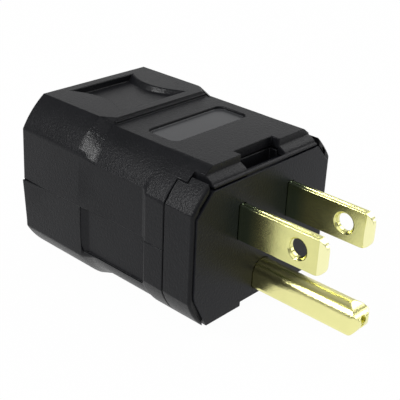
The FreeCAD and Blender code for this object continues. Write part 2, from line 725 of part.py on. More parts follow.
def build_front_housing():
    """Carrier that the face plate seats in: side straps, bulkhead and terminal barriers."""
    body = new_body("front_housing")
    start = "face_thickness + seat_gap"
    bevel_end = "strap_start + strap_bevel"
    blend_along(body, "PartDesign::AdditiveLoft", [
        ("strap_start", wide_ring("strap_bevel")), (bevel_end, wide_ring("0"))])
    add_along(body, "XZ_Plane", [wide_ring("0")], bevel_end, "strap_length")
    tall = "front_height + 1"
    for inner, end, start_place in (("strap_front_inner", "strap_step", "strap_start - 1"),
                                    ("strap_rear_inner", "strap_length + 1", "strap_step")):
        middle = rectangle(f"-{inner}", height(DOWN, tall), inner, height(UP, tall))
        cut_along(body, "XZ_Plane", [middle], start_place, end)
    inside = ring_section(inner_section(UP), inner_section(DOWN))
    add_along(body, "XZ_Plane", [inside], start, "bulkhead_end")
    cut_along(body, "XZ_Plane", [face_outline("face_gap")], "strap_start - 1", start)
    inner = "half_width - shell_wall - bulkhead_gap"
    shelf = rectangle(f"-({inner})", "shelf_height", inner, "shelf_height + barrier_wall")
    add_along(body, "XZ_Plane", [shelf], "bulkhead_end - 0.5", "barrier_end")
    top = height(UP, "front_height - shell_wall - bulkhead_gap")
    wall = rectangle("-barrier_wall / 2", "shelf_height + barrier_wall / 2", "barrier_wall / 2", top)
    add_along(body, "XZ_Plane", [wall], "bulkhead_end - 0.5", "barrier_end")
    # Openings for the pins, wider in front where their shoulders and collar sit
    cut_along(body, "XZ_Plane", both_sides(blade_slot("pin_gap")), start, "bulkhead_end + 1")
    cut_along(body, "XZ_Plane", [pin_section("pin_gap")], start, "bulkhead_end + 1")
    seat_end = f"{start} + ear_length + seat_gap"
    tall = "blade_height / 2 + blade_ear + pin_gap"
    ears = rectangle("blade_spacing / 2 - blade_sheet - pin_gap", f"-({tall})",
                     "blade_spacing / 2 + blade_sheet + pin_gap", tall)
    cut_along(body, "XZ_Plane", both_sides(ears), start, seat_end)
    cut_along(body, "XZ_Plane", [pin_section("pin_collar + pin_gap")], start, seat_end)
    # Pocket that the upper shell's latch reaches into
    pocket = rectangle("-window_half_width + joint_gap", f"{start} - 1",
                       "window_half_width - joint_gap", "latch_rear")
    face = height(UP, "front_height - shell_wall")
    cut_along(body, "XY_Plane", [pocket], f"{face} - latch_depth", face)
    return body


def build_face_plate():
    body = new_body("face_plate")
    add_along(body, "XZ_Plane", [face_outline("0")], "0", "face_thickness")
    low = number("face_bottom_side")
    corners = edges_where(body, lambda point: abs(point.z - low) < 0.01)
    dress(body, "PartDesign::Fillet", corners, "face_corner_round")
    cut_along(body, "XZ_Plane", both_sides(blade_slot("pin_gap")), "-1", "face_thickness + 1")
    cut_along(body, "XZ_Plane", [pin_section("pin_gap")], "-1", "face_thickness + 1")
    notch = rectangle("-notch_half_width", "face_bottom - 1",
                      "notch_half_width", "face_bottom + notch_depth")
    cut_along(body, "XZ_Plane", [notch], "-1", "face_thickness + 1")
    return body


ROOT_END = "screw_place - clamp_half - clamp_gap"


def build_blade(label, side):
    """A strip folded double into a blade, with a tab turned out at its inner end."""
    body = new_body(label)
    middle = f"{side} * blade_spacing / 2"
    half = "blade_height / 2"
    ear_front = "face_thickness + seat_gap"
    ear_back = f"{ear_front} + ear_length"
    outline = [
        ("-blade_reach", f"-{half}"), (ear_front, f"-{half}"),
        (ear_front, f"-({half} + blade_ear)"), (ear_back, f"-({half} + blade_ear)"),
        (ear_back, f"-{half}"), (ROOT_END, f"-{half}"),
        (ROOT_END, half), (ear_back, half),
        (ear_back, f"{half} + blade_ear"), (ear_front, f"{half} + blade_ear"),
        (ear_front, half), ("-blade_reach", half),
    ]
    add_along(body, "YZ_Plane", [outline], f"{middle} - blade_sheet", f"{middle} + blade_sheet")
    end = -number("blade_reach")
    corners = edges_where(body, lambda point: abs(point.y - end) < 0.01)
    corners = [name for name in corners if body.Shape.getElement(name).Length < number("blade_height / 2")]
    dress(body, "PartDesign::Fillet", corners, "blade_tip_round")
    # Bevel on both flats at the tip
    for way in ("-", "+"):
        bevel = [
            (f"{middle} {way} blade_sheet * 0.45", "-blade_reach - 0.01"),
            (f"{middle} {way} blade_sheet * 1.01", "-blade_reach + blade_bevel"),
            (f"{middle} {way} blade_sheet * 1.5", "-blade_reach + blade_bevel"),
            (f"{middle} {way} blade_sheet * 1.5", "-blade_reach - 0.01"),
        ]
        cut_along(body, "XY_Plane", [bevel], f"-{half} - 1", f"{half} + 1")
    # Groove between the two layers, along both edges
    for way in ("-", "+"):
        groove = [
            (f"{middle} - blade_seam / 2", f"{way}({half} + 0.01)"),
            (f"{middle}", f"{way}({half} - blade_seam)"),
            (f"{middle} + blade_seam / 2", f"{way}({half} + 0.01)"),
        ]
        cut_along(body, "XZ_Plane", [groove], "-blade_reach + blade_tip_round", "0")
    hole = ("blade_hole_back - blade_reach", "0", "blade_hole_radius")
    cut_along(body, "YZ_Plane", [hole], f"{middle} - 2 * blade_sheet", f"{middle} + 2 * blade_sheet")
    radius = number("blade_hole_radius")
    rim = [f"Edge{index}" for index, edge in enumerate(body.Shape.Edges, 1)
           if isinstance(edge.Curve, Part.Circle) and abs(edge.Curve.Radius - radius) < 0.01]
    dress(body, "PartDesign::Chamfer", rim, "blade_hole_rim")
    inner = f"{middle} - {side} * blade_sheet"
    outer = f"{side} * tab_reach"
    low, high = (inner, outer) if side == RIGHT else (outer, inner)
    tab = rectangle(low, "tab_start", high, "tab_end")
    add_along(body, "XY_Plane", [tab], f"{half} - tab_thickness", half)
    screw = (f"{side} * screw_side", "screw_place", "screw_radius + screw_hole_gap")
    cut_along(body, "XY_Plane", [screw], f"{half} - tab_thickness - 1", f"{half} + 1")
    return body


def build_ground_pin():
    """A pin folded from sheet: arched on top, open along its underside, with a tab inside."""
    body = new_body("ground_pin")
    ear_front = "face_thickness + seat_gap"
    ear_back = f"{ear_front} + ear_length"
    add_along(body, "XZ_Plane", [pin_section("0")], "-pin_reach", ear_back)
    # Rounded nose: from above first, then from below and from both sides
    top = "pin_radius - pin_drop"
    nose = [
        ("-pin_reach - 1", f"{top} + 1"),
        ("-pin_reach - 1", f"{top} - pin_nose_depth"),
        ("-pin_reach", f"{top} - pin_nose_depth", "-pin_nose_swell"),
        ("pin_nose_length - pin_reach", top),
        ("pin_nose_length - pin_reach", f"{top} + 1"),
    ]
    cut_along(body, "YZ_Plane", [nose], "-pin_radius - 1", "pin_radius + 1")
    chin = [
        ("-pin_reach - 1", "pin_under - 1"),
        ("pin_chin_length - pin_reach", "pin_under - 1"),
        ("pin_chin_length - pin_reach", "pin_under", "-pin_chin_swell"),
        ("-pin_reach", "pin_under + pin_chin_depth"),
        ("-pin_reach - 1", "pin_under + pin_chin_depth"),
    ]
    cut_along(body, "YZ_Plane", [chin], "-pin_radius - 1", "pin_radius + 1")
    cheek = [
        ("pin_radius - pin_nose_side", "-pin_reach - 1"),
        ("pin_radius - pin_nose_side", "-pin_reach", "-pin_nose_side * 0.2929"),
        ("pin_radius", "pin_nose_side - pin_reach"),
        ("pin_radius + 1", "pin_nose_side - pin_reach"),
        ("pin_radius + 1", "-pin_reach - 1"),
    ]
    cut_along(body, "XY_Plane", both_sides(cheek), "pin_under - 1", "0")
    slit = rectangle("-pin_slit / 2", "pin_under - 1", "pin_slit / 2", "-pin_drop")
    cut_along(body, "XZ_Plane", [slit], "-pin_reach - 1", "0")
    cut_along(body, "XZ_Plane", [("0", "-pin_drop", "pin_core")], "-pin_reach - 1", "0")
    add_along(body, "XZ_Plane", [pin_section("pin_collar")], ear_front, ear_back)
    root = rectangle("-pin_radius * 0.9", "ground_under", "pin_radius * 0.9", "ground_under + ground_root")
    add_along(body, "XZ_Plane", [root], ear_back, ROOT_END)
    tab = rectangle("-ground_tab_half", "tab_start", "ground_tab_half", "tab_end")
    add_along(body, "XY_Plane", [tab], "ground_under", "ground_under + tab_thickness")
    screw = ("0", "screw_place", "screw_radius + screw_hole_gap")
    cut_along(body, "XY_Plane", [screw], "ground_under - 1", "ground_under + tab_thickness + 1")
    return body


def build_clamp_plate(label, across, low):
    """A threaded plate that presses a wire against its tab."""
    body = new_body(label)
    plate = rectangle(f"{across} - clamp_half", "screw_place - clamp_half",
                      f"{across} + clamp_half", "screw_place + clamp_half")
    hole = (across, "screw_place", "screw_radius + screw_hole_gap / 2")
    add_along(body, "XY_Plane", [plate, hole], low, f"{low} + clamp_thickness")
    return body


def cylinder(name, across, along, low, radius, tall):
    item = doc.addObject("Part::Cylinder", name)
    bind(item, Radius=radius, Height=tall, Placement__Base__x=across, Placement__Base__y=along,
         Placement__Base__z=low)
    return item


def screw_parts(name, across, along, seat, way, sizes):
    """A slotted screw whose head sits at a height and whose shank points the other way."""
    radius, length, head_radius, head_height = (f"{sizes}_{part}" for part in (
        "radius", "length", "head_radius", "head_height"))
    head_low, shank_low = (seat, f"{seat} - {length}") if way == UP else (f"{seat} - {head_height}", seat)
    shank = cylinder(name + "_shank", across, along, shank_low, radius, length)
    head = cylinder(name + "_head", across, along, head_low, head_radius, head_height)
    doc.recompute()
    rounded = doc.addObject("Part::Chamfer", name + "_rounded")
    rounded.Base = head
    rim = number(f"{head_low} + {head_height}" if way == UP else head_low)
    edge = next(index for index, item in enumerate(head.Shape.Edges, 1)
                if isinstance(item.Curve, Part.Circle) and abs(item.Vertexes[0].Point.z - rim) < 0.01)
    bevel = number(f"{head_height} / 3")
    rounded.Edges = [(edge, bevel, bevel)]
    slot = doc.addObject("Part::Box", name + "_slot")
    upper_low = f"{seat} + {head_height} - screw_slot_depth"
    slot_low = upper_low if way == UP else f"{seat} - {head_height} - 1"
    bind(slot, Length=f"2 * {head_radius} + 1", Width="screw_slot", Height="screw_slot_depth + 1",
         Placement__Base__x=f"{across} - {head_radius} - 0.5",
         Placement__Base__y=f"{along} - screw_slot / 2",
         Placement__Base__z=slot_low)
    joined = doc.addObject("Part::Fuse", name + "_joined")
    joined.Base = shank
    joined.Tool = rounded
    cut = doc.addObject("Part::Cut", name)
    cut.Base = joined
    cut.Tool = slot
    doc.recompute()
    return cut


def build_terminal_screw(label, across, seat, way):
    screw = screw_parts(label, across, "screw_place", seat, way, "screw")
    screw.Label = label
    return screw


def group(label, items):
    joined = doc.addObject("Part::Compound", label)
    joined.Label = label
    joined.Links = items
    doc.recompute()
    return joined


def build_assembly_screws():
    seat = height(DOWN, "pad_height - bolt_head_sink")
    return group("assembly_screws", [
        screw_parts(f"bolt_{name}", f"{side} * bolt_side", "bolt_place", seat, DOWN, "bolt")
        for name, side in (("left", LEFT), ("right", RIGHT))])


def build_assembly_nuts():
    nuts = []
    for name, side in (("left", LEFT), ("right", RIGHT)):
        half = "(nut_side - bolt_hole_gap) / 2"
        low = "parting_height + nut_depth"
        block = doc.addObject("Part::Box", f"nut_{name}_block")
        bind(block, Length=f"2 * {half}", Width=f"2 * {half}", Height="nut_thickness - bolt_hole_gap / 2",
             Placement__Base__x=f"{side} * bolt_side - {half}", Placement__Base__y=f"bolt_place - {half}",
             Placement__Base__z=low)
        thread = cylinder(f"nut_{name}_thread", f"{side} * bolt_side", "bolt_place", f"{low} - 1",
                          "bolt_radius + pin_gap", "nut_thickness + 2")
        nut = doc.addObject("Part::Cut", f"nut_{name}")
        nut.Base = block
        nut.Tool = thread
        nuts.append(nut)
    return group("assembly_nuts", nuts)


TAB_TOP = "blade_height / 2"
TAB_UNDER = "blade_height / 2 - tab_thickness"
GROUND_UNDER = "ground_under"

parts = [
    build_top_shell(),
    build_bottom_shell(),
    build_front_housing(),
    build_face_plate(),
    build_blade("hot_blade", LEFT),
    build_blade("neutral_blade", RIGHT),
    build_ground_pin(),
    build_terminal_screw("hot_terminal_screw", "-screw_side", TAB_TOP, UP),
    build_terminal_screw("neutral_terminal_screw", "screw_side", TAB_TOP, UP),
    build_terminal_screw("ground_terminal_screw", "0", GROUND_UNDER, DOWN),
    build_clamp_plate("hot_clamp_plate", "-screw_side", f"{TAB_UNDER} - clamp_gap - clamp_thickness"),
    build_clamp_plate("neutral_clamp_plate", "screw_side", f"{TAB_UNDER} - clamp_gap - clamp_thickness"),
    build_clamp_plate("ground_clamp_plate", "0", f"{GROUND_UNDER} + tab_thickness + clamp_gap"),
    build_assembly_screws(),
    build_assembly_nuts(),
]

doc.recompute()
for item in doc.Objects:
    if "Invalid" in item.State or "Error" in item.State:
        raise RuntimeError(f"{item.Label} failed: {item.State}")
for part in parts:
    if part.Shape.isNull() or not part.Shape.isValid():
        raise RuntimeError(f"{part.Label} has no sound shape")

os.makedirs("parts", exist_ok=True)
for part in parts:
    part.Shape.exportStep(f"parts/{part.Label}.step")
    box = part.Shape.BoundBox
    print(f"{part.Label}: {len(part.Shape.Solids)} solid, {part.Shape.Volume:.1f} mm3, "
          f"{box.XLength:.2f} x {box.YLength:.2f} x {box.ZLength:.2f} mm")
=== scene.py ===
import math

import bmesh
import bpy
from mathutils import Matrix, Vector
from mathutils.bvhtree import BVHTree


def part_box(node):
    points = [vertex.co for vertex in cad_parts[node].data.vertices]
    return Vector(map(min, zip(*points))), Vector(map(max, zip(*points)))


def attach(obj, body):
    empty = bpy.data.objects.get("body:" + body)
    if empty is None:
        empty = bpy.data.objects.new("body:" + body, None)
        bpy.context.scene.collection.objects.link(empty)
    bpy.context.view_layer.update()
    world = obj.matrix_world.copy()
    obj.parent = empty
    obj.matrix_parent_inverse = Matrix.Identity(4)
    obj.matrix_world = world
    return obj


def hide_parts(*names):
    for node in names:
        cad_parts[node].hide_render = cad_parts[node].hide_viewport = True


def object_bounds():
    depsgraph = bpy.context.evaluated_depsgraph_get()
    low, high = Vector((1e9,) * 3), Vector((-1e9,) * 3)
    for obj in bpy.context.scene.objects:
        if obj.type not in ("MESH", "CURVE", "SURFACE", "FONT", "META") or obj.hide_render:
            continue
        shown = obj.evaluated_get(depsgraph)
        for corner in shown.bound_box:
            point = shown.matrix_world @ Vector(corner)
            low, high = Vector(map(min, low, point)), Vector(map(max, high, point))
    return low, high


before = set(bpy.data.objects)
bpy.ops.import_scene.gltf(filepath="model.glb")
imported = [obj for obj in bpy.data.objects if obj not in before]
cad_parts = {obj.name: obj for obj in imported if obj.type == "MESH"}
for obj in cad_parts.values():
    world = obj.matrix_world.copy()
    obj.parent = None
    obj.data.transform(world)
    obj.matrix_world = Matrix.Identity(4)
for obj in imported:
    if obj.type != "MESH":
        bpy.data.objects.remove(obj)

cad_low, cad_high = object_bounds()
MM = 0.001

# Front housing. The moulded carrier of the plug: its two straps show on the side walls, and its
# bulkhead and terminal barriers are hidden inside. Black nylon, moulded in a spark-eroded tool
# that leaves a fine grain all over and rounds the crisp edges a little.

HOUSING_ROUNDING = 0.14 * MM
HOUSING_DARK = (0.0060, 0.0063, 0.0075, 1)
HOUSING_PALE = (0.0115, 0.0118, 0.0134, 1)
HOUSING_ROUGHNESS = 0.36


class Value:
    """A number that varies over a piece, with ordinary arithmetic."""

    def __init__(self, recipe, socket):
        self.recipe = recipe
        self.socket = socket

    def maths(self, operation, *others):
        return self.recipe.maths(operation, self, *others)

    def __add__(self, other):
        return self.maths("ADD", other)

    def __sub__(self, other):
        return self.maths("SUBTRACT", other)

    def __rsub__(self, other):
        return self.recipe.maths("SUBTRACT", other, self)

    def __mul__(self, other):
        return self.maths("MULTIPLY", other)

    def __truediv__(self, other):
        return self.maths("DIVIDE", other)

    def __rtruediv__(self, other):
        return self.recipe.maths("DIVIDE", other, self)

    def __lt__(self, other):
        return self.maths("LESS_THAN", other)

    def __gt__(self, other):
        return self.maths("GREATER_THAN", other)

    def __abs__(self):
        return self.maths("ABSOLUTE")

    __radd__ = __add__
    __rmul__ = __mul__


class Recipe:
    """A tree of nodes, for a finish, a shape or the light of the room."""

    def __init__(self, tree):
        self.tree = tree
        tree.nodes.clear()

    def node(self, kind, settings, inputs, output=0):
        """Adds a node of a type: its settings first, then the values or links of its sockets."""
        made = self.tree.nodes.new(kind)
        for name, setting in settings.items():
            setattr(made, name, setting)
        for name, given in inputs.items():
            for value in given if isinstance(given, list) else [given]:
                if isinstance(value, Value):
                    self.tree.links.new(value.socket, made.inputs[name])
                else:
                    made.inputs[name].default_value = value
        return Value(self, made.outputs[output]) if made.outputs else None

    def maths(self, operation, *terms):
        """Works out one step of arithmetic on its terms, in their order."""
        return self.node("ShaderNodeMath", {"operation": operation}, dict(enumerate(terms)))


class Finish(Recipe):
    """A material that varies over a piece, in millimetres."""

    def __init__(self, name):
        self.material = bpy.data.materials.new(name)
        self.material.use_nodes = True
        super().__init__(self.material.node_tree)
        point = self.node("ShaderNodeTexCoord", {}, {}, "Object")
        self.point = self.node("ShaderNodeVectorMath", {"operation": "SCALE"}, {
            0: point, "Scale": 1 / MM})

    def along(self, axis):
        """How far along an axis of the plug the point is."""
        return self.node("ShaderNodeSeparateXYZ", {}, {0: self.point}, axis)

    def facing(self, axis):
        """How far the surface is turned to face along an axis, from -1 to 1."""
        normal = self.node("ShaderNodeTexCoord", {}, {}, "Normal")
        return self.node("ShaderNodeSeparateXYZ", {}, {0: normal}, axis)

    def noise(self, size, detail=2.0, rough=0.5, stretch=(1, 1, 1)):
        """Cloudy variation in patches of about a size, drawn out along the axes by a stretch."""
        stretched = self.node("ShaderNodeVectorMath", {"operation": "DIVIDE"}, {
            0: self.point, 1: stretch})
        return self.node("ShaderNodeTexNoise", {"noise_dimensions": "3D"}, {
            "Vector": stretched, "Scale": 1 / size, "Detail": detail, "Roughness": rough})

    def mix(self, share, first, second):
        """Blends two colours by a share that varies."""
        return self.node("ShaderNodeMix", {"data_type": "RGBA"}, {0: share, 6: first, 7: second}, 2)

    def bump(self, height, depth):
        """Turns a height between nought and one into a relief of a depth in millimetres."""
        return self.node("ShaderNodeBump", {}, {"Height": height, "Distance": depth * MM})

    def surface(self, inputs):
        """Completes the finish with what its surface is like."""
        shader = self.node("ShaderNodeBsdfPrincipled", {}, inputs)
        self.node("ShaderNodeOutputMaterial", {}, {"Surface": shader})
        return self.material


# The nylon's grain in millimetres, and how far it changes the colour and the gloss.
NYLON_GRAIN_SIZE = 0.42
NYLON_SPECK_SIZE = 0.2
NYLON_CLOUD_SIZE = 6.0
NYLON_GRAIN_SHARE = 0.65
NYLON_GRAIN_DEPTH = 0.08
NYLON_GRAIN_TINT = 1.4
NYLON_GLOSS_CHANGE = 0.06
NYLON_SHINE = 0.14
# Painted sheen: the paler colour of the smooth label floor.
SMOOTH_PATCH_SHEEN_COLOUR = (0.046, 0.047, 0.050, 1)
SMOOTH_PATCH_LEVELLING = 0.9
PATCH_POLISH = 0.1


def nylon(name, dark, pale, roughness, smooth_sheen_patch=None, worn_patch=None):
    """Moulded black nylon with a fine eroded grain.

    A patch of it can be smooth, and paler as a painted sheen, and another worn a little shiny.
    """
    finish = Finish(name)
    grain = finish.noise(NYLON_GRAIN_SIZE, rough=0.6)
    speck = finish.noise(NYLON_SPECK_SIZE, detail=1.0)
    cloud = finish.noise(NYLON_CLOUD_SIZE)
    relief = grain * NYLON_GRAIN_SHARE + speck * (1 - NYLON_GRAIN_SHARE)
    height = relief
    rough = (cloud - 0.5) * NYLON_GLOSS_CHANGE + roughness
    share = (relief - 0.5) * NYLON_GRAIN_TINT + cloud
    colour = finish.mix(share.maths("MINIMUM", 1.0), dark, pale)
    if smooth_sheen_patch is not None:
        patch = smooth_sheen_patch(finish)
        height = relief * (1 - patch * SMOOTH_PATCH_LEVELLING)
        rough = rough - patch * PATCH_POLISH
        # Painted sheen: the smooth patch is coloured paler.
        colour = finish.mix(patch, colour, SMOOTH_PATCH_SHEEN_COLOUR)
    if worn_patch is not None:
        rough = rough - worn_patch(finish) * PATCH_POLISH
    return finish.surface({
        "Base Color": colour, "Roughness": rough, "Specular IOR Level": NYLON_SHINE,
        "Normal": finish.bump(height, NYLON_GRAIN_DEPTH)})


SHARP_TURN = math.radians(32)
BROAD_TURN = math.radians(9.5)
BROAD_FACE = 0.5 * MM


def is_crisp(edge):
    """True for an edge of the form, and not for one between the facets of a curve."""
    turn = edge.calc_face_angle()
    broad = min(face.calc_area() for face in edge.link_faces) > BROAD_FACE * edge.calc_length()
    return turn > SHARP_TURN or (turn > BROAD_TURN and broad)


LEAST_ROUNDING = 0.02 * MM
SHARE_OF_NEIGHBOUR = 0.45
TAPER_TO_NEIGHBOUR = 2
TAPER_ROUNDS = 4


def rounding_room(form, wanted):
    """The width that each crisp edge can be rounded over, clear of the edges beside it."""
    room = dict(wanted)
    for face in form.faces:
        for corner in face.loops:
            pair = corner.edge, corner.link_loop_prev.edge
            both = pair[0] in room and pair[1] in room
            if both and not corner.is_convex:
                continue
            angle = corner.calc_angle()
            slope = math.tan(angle / 2) if both else abs(math.sin(angle))
            for edge, beside in (pair, pair[::-1]):
                if edge in room:
                    reach = beside.calc_length()
                    if both:
                        reach = min(reach, edge.calc_length())
                    room[edge] = min(room[edge], SHARE_OF_NEIGHBOUR * reach * slope)
    for _ in range(TAPER_ROUNDS):
        for edge in room:
            for other in (other for end in edge.verts for other in end.link_edges):
                if room.get(other, 0) > LEAST_ROUNDING:
                    room[edge] = min(room[edge], TAPER_TO_NEIGHBOUR * room[other])
    return room


SAME_POINT = 0.03 * MM
FLAT_TURN = math.radians(0.3)
NEARLY_FLAT_TURN = math.radians(5)
SQUARENESS = math.radians(85)
GENTLE_TURN = math.radians(50)
ROUNDING_STEPS = 2
MOST_CORNERS = 4
STRAY_DISTANCE = 0.09 * MM


def eased(node, width, gentle=0):
    """A copy of a piece with its crisp edges rounded over, as a mould or a tumbler leaves them.

    Edges between faces that meet at a gentle turn can have a width of their own.
    """
    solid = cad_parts[node].data
    form = bmesh.new()
    form.from_mesh(solid)
    bmesh.ops.remove_doubles(form, verts=form.verts, dist=SAME_POINT)
    bmesh.ops.dissolve_limit(form, angle_limit=FLAT_TURN, verts=form.verts, edges=form.edges)
    bmesh.ops.join_triangles(form, faces=form.faces, angle_face_threshold=NEARLY_FLAT_TURN,
                             angle_shape_threshold=SQUARENESS)
    weights = form.edges.layers.float.new("bevel_weight_edge")
    wanted = {edge: gentle if gentle and edge.calc_face_angle() < GENTLE_TURN else width
              for edge in form.edges if is_crisp(edge)}
    widest = max(wanted.values())
    for edge, room in rounding_room(form, wanted).items():
        edge[weights] = room / widest if room > LEAST_ROUNDING else 0
        edge.smooth = False
    mesh = bpy.data.meshes.new(f"dressed_{node}")
    form.to_mesh(mesh)
    form.free()
    piece = bpy.data.objects.new(mesh.name, mesh)
    bpy.context.scene.collection.objects.link(piece)
    mesh.polygons.foreach_set("use_smooth", [True] * len(mesh.polygons))
    rounding = piece.modifiers.new("rounding", "BEVEL")
    rounding.limit_method = "WEIGHT"
    rounding.width = widest
    rounding.segments = ROUNDING_STEPS
    rounding.use_clamp_overlap = False
    rounding.miter_outer = "MITER_SHARP"
    splitting = piece.modifiers.new("splitting", "TRIANGULATE")
    splitting.min_vertices = MOST_CORNERS + 1
    done = plain(piece)
    skin = BVHTree.FromPolygons([vert.co for vert in solid.vertices],
                                [face.vertices for face in solid.polygons])
    for vert in done.data.vertices:
        spot, _, _, distance = skin.find_nearest(vert.co)
        if distance > STRAY_DISTANCE:
            vert.co = spot
    unfold(done.data)
    shading = done.modifiers.new("shading", "WEIGHTED_NORMAL")
    shading.keep_sharp = True
    return plain(done)


FOLDED_TURN = math.radians(150)
UNFOLDING_ROUNDS = 6
SHORT_SIDE = 0.4 * MM
NO_LENGTH = 0.001 * MM


def unfold(mesh):
    """Merges the ends of slivers that the rounding has folded back over their neighbours."""
    form = bmesh.new()
    form.from_mesh(mesh)
    for _ in range(UNFOLDING_ROUNDS):
        folds = [edge for edge in form.edges if edge.calc_face_angle(0) > FOLDED_TURN]
        slivers = dict.fromkeys(min(edge.link_faces, key=lambda face: face.calc_area())
                                for edge in folds)
        short = dict.fromkeys(min(face.edges, key=lambda edge: edge.calc_length())
                              for face in slivers)
        short = [edge for edge in short if edge.calc_length() < SHORT_SIDE]
        bmesh.ops.collapse(form, edges=short)
        bmesh.ops.dissolve_degenerate(form, dist=NO_LENGTH, edges=form.edges)
    form.to_mesh(mesh)
    form.free()


def plain(piece):
    """The piece as its modifiers leave it, in a mesh of its own."""
    bpy.context.view_layer.update()
    shaped = piece.evaluated_get(bpy.context.evaluated_depsgraph_get())
    mesh = bpy.data.meshes.new_from_object(shaped)
    piece.modifiers.clear()
    piece.data = mesh
    return piece


def fitted(piece, node, material):
    """Seats a finished piece in the plug in place of the plain solid."""
    piece.data.materials.clear()
    piece.data.materials.append(material)
    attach(piece, "root")
    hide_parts(node)


housing_nylon = nylon("housing_nylon", HOUSING_DARK, HOUSING_PALE, HOUSING_ROUGHNESS)
fitted(eased("front_housing", HOUSING_ROUNDING), "front_housing", housing_nylon)

# Flat blades. Strip brass folded double and coined, with a countersunk hole and a bevelled,
# round-cornered end; the fold's seam runs along both edges. Polished, with faint drawing lines.

BLADE_ROUNDING = 0.08 * MM
BLADE_BRASS = (0.81, 0.79, 0.33, 1)
BLADE_TARNISH = (0.73, 0.72, 0.31, 1)
# Painted highlight: the bevelled end of each blade is coloured brighter.
TIP_HIGHLIGHT_BRASS = (0.98, 0.96, 0.53, 1)
# Painted reflection: the root of each blade is coloured dark and green, where the dark face plate
# reflects in it.
DARK_REFLECTION_BRASS = (0.34, 0.42, 0.25, 1)
BRASS_ROUGHNESS = 0.22

# Places along the plug and sizes of its marks in millimetres, and how far they change the gloss.
TIP_HIGHLIGHT_FROM = -15.95
DARK_REFLECTION_FROM, DARK_REFLECTION_TO = -4.6, -2.0
BRASS_LINE_SIZE = 0.12
BRASS_LINE_STRETCH = (1, 26, 1)
BRASS_LINE_SHARE = 0.45
BRASS_LINE_GLOSS_CHANGE = 0.14
BRASS_CLOUD_SIZE = 2.2
BRASS_CLOUD_GLOSS_CHANGE = 0.12
BRASS_SPECK_SIZE = 0.22
BRASS_RELIEF = 0.024


def pale_brass(name, base, tint, roughness, tip_highlight_from=None):
    """Bright brass with drawing lines along the pin and a slight tarnish in patches.

    A blade is coloured brighter on its bevelled end, a painted highlight, and darker at its root, a
    painted reflection of the dark face plate.
    """
    finish = Finish(name)
    lines = finish.noise(BRASS_LINE_SIZE, detail=3.0, rough=0.6, stretch=BRASS_LINE_STRETCH)
    cloud = finish.noise(BRASS_CLOUD_SIZE, detail=3.0, rough=0.55)
    specks = finish.noise(BRASS_SPECK_SIZE)
    streaks = (lines - 0.5) * BRASS_LINE_GLOSS_CHANGE
    patches = (cloud - 0.5) * BRASS_CLOUD_GLOSS_CHANGE
    colour = finish.mix(cloud, base, tint)
    if tip_highlight_from is not None:
        along = finish.along("Y")
        # Painted highlight: a brighter colour on the bevelled end.
        colour = finish.mix(along < tip_highlight_from, colour, TIP_HIGHLIGHT_BRASS)
        # Painted reflection of the dark face plate: a darker, greener colour towards the root.
        root = (along - DARK_REFLECTION_FROM) / (DARK_REFLECTION_TO - DARK_REFLECTION_FROM)
        root = root.maths("MAXIMUM", 0.0).maths("MINIMUM", 1.0)
        colour = finish.mix(root, colour, DARK_REFLECTION_BRASS)
    relief = lines * BRASS_LINE_SHARE + specks * (1 - BRASS_LINE_SHARE)
    return finish.surface({
        "Base Color": colour, "Metallic": 1.0, "Roughness": streaks + patches + roughness,
        "Normal": finish.bump(relief, BRASS_RELIEF)})


blade_brass = pale_brass("blade_brass", BLADE_BRASS, BLADE_TARNISH, BRASS_ROUGHNESS, TIP_HIGHLIGHT_FROM)
for side in ("hot", "neutral"):
    fitted(eased(f"{side}_blade", BLADE_ROUNDING), f"{side}_blade", blade_brass)

# Ground pin. The same brass folded into a longer pin, arched on top and open underneath, with a
# rounded nose that splits into two lobes.

PIN_ROUNDING = 0.12 * MM
PIN_BRASS = (0.94, 0.90, 0.41, 1)
PIN_TARNISH = (0.86, 0.84, 0.37, 1)

pin_brass = pale_brass("pin_brass", PIN_BRASS, PIN_TARNISH, BRASS_ROUGHNESS)
fitted(eased("ground_pin", PIN_ROUNDING), "ground_pin", pin_brass)

# Terminal screws. One brass, one plain and one green slotted screw mark the three terminals.
# Each is cold headed from wire, has a rolled thread, and is turned down onto its tab.

SCREW_INPUTS = {
    "Shank radius": "NodeSocketFloat", "Shank length": "NodeSocketFloat",
    "Thread pitch": "NodeSocketFloat", "Thread depth": "NodeSocketFloat",
    "Head radius": "NodeSocketFloat", "Head height": "NodeSocketFloat",
    "Rim rounding": "NodeSocketFloat", "Slot width": "NodeSocketFloat",
    "Slot depth": "NodeSocketFloat", "Count": "NodeSocketInt",
    "First seat": "NodeSocketVector", "Spacing": "NodeSocketVector",
    "Turn": "NodeSocketVector", "Plating": "NodeSocketMaterial"}
SHANK_SIDES = 24
RINGS_PER_TURN = 8
HEAD_SIDES = 48
HEAD_RINGS = 8
THREAD_PITCH = 0.8 * MM
THREAD_DEPTH = 0.38 * MM
RIM_SHARE = 0.4
SLOT_WIDTH = 0.8 * MM
SLOT_DEPTH = 0.7 * MM
SLOT_CUTTER_REACH = 3
SCREW_SHARP_TURN = math.radians(38)
TERMINAL_SHANK_RADIUS = 1.95 * MM
TERMINAL_HEAD_RADIUS = 2.9 * MM
TERMINAL_HEAD_HEIGHT = 1.7 * MM


